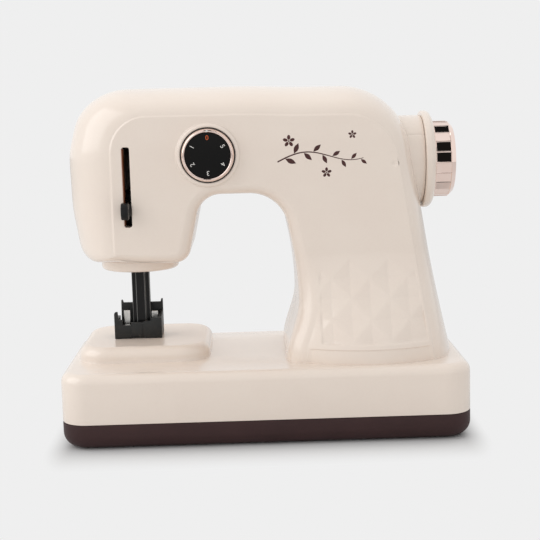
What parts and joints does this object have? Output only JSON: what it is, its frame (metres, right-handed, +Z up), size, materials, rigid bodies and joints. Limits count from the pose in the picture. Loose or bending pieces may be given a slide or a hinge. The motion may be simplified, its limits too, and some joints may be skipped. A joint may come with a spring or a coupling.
{
  "type": "toy sewing machine",
  "caption": "Toy sewing machine: cream two-part body on a flat base, with a sliding needle bar and foot, a plated handwheel on a geared main shaft, and a turning selector dial.",
  "frame": {"origin": "middle of the base's plan, at the height of the surface it stands on", "axes": "+X to the handwheel's end, +Y to the rear, +Z up; the dial and the lever face -Y"},
  "size_m": [0.21, 0.106, 0.181],
  "materials": {
    "cream_plastic": "glossy moulded cream, soft highlights",
    "brown_plastic": "dark brown, fine matte grain",
    "black_plastic": "black, semi-matte",
    "dial_plastic": "black, polished",
    "gear_plastic": "natural white, satin",
    "rose_chrome": "rose-coloured bright plating",
    "screw_steel": "zinc plated",
    "shaft_steel": "ground and polished",
    "clip_steel": "bright spring strip",
    "frame_steel": "plain rolled sheet",
    "bush_brass": "machined",
    "foot_rubber": "black, matte",
    "cell_metal": "plain wrapped cell",
    "red_lead": "sleeved lead",
    "black_lead": "sleeved lead"
  },
  "bodies": {
    "body": {"bottom_tray": "brown_plastic", "base_cover": "cream_plastic", "front_cover": "cream_plastic", "rear_cover": "cream_plastic", "needle_collar": "cream_plastic", "battery_door": "brown_plastic", "battery_door_screw": "screw_steel", "tray_screws": "screw_steel", "column_screws": "screw_steel", "cover_screws": "screw_steel", "rubber_feet": "foot_rubber", "bar_guide": "black_plastic", "guide_rods": "shaft_steel", "rod_bracket": "black_plastic", "shaft_bushes": "bush_brass", "drive_frame": "frame_steel", "frame_screws": "screw_steel", "idler_axle": "shaft_steel", "motor_can": "frame_steel", "motor_end_bell": "black_plastic", "dial_switch": "black_plastic", "battery_cells": "cell_metal", "battery_contacts": "clip_steel", "battery_springs": "clip_steel", "switch_lead": "red_lead", "motor_lead": "red_lead", "return_lead": "black_lead"},
    "handwheel": {"main_shaft": "shaft_steel", "crank_disc": "gear_plastic", "crank_pin": "shaft_steel", "shaft_gear": "gear_plastic", "handwheel_flange": "cream_plastic", "handwheel_knob": "rose_chrome"},
    "idler": {"idler_gear": "gear_plastic"},
    "motor_rotor": {"motor_shaft": "shaft_steel", "motor_pinion": "bush_brass"},
    "needle": {"bar_carriage": "black_plastic", "needle_bar": "black_plastic", "presser_foot": "black_plastic", "foot_clips": "clip_steel", "take_up_lever": "black_plastic"},
    "dial": {"dial_ring": "rose_chrome", "dial_face": "dial_plastic", "dial_spindle": "black_plastic"}
  },
  "joints": [
    {"name": "handwheel_spin", "type": "hinge", "parent": "body", "child": "handwheel", "pos_m": [0, 0.008, 0.1395], "axis": [1, 0, 0], "continuous": true},
    {"name": "idler_spin", "type": "hinge", "parent": "body", "child": "idler", "pos_m": [0, 0.008, 0.112], "axis": [1, 0, 0], "continuous": true},
    {"name": "motor_spin", "type": "hinge", "parent": "body", "child": "motor_rotor", "pos_m": [0, 0.008, 0.09075], "axis": [1, 0, 0], "continuous": true},
    {"name": "needle_slide", "type": "slide", "parent": "body", "child": "needle", "axis": [0, 0, 1], "range_m": [0, 0.016]},
    {"name": "dial_turn", "type": "hinge", "parent": "body", "child": "dial", "pos_m": [-0.0265, 0, 0.1465], "axis": [0, -1, 0], "continuous": true}
  ],
  "couplings": [
    {"joint": "idler_spin", "follows": "handwheel_spin", "ratio": -2.6667},
    {"joint": "motor_spin", "follows": "handwheel_spin", "ratio": 6.4}
  ]
}
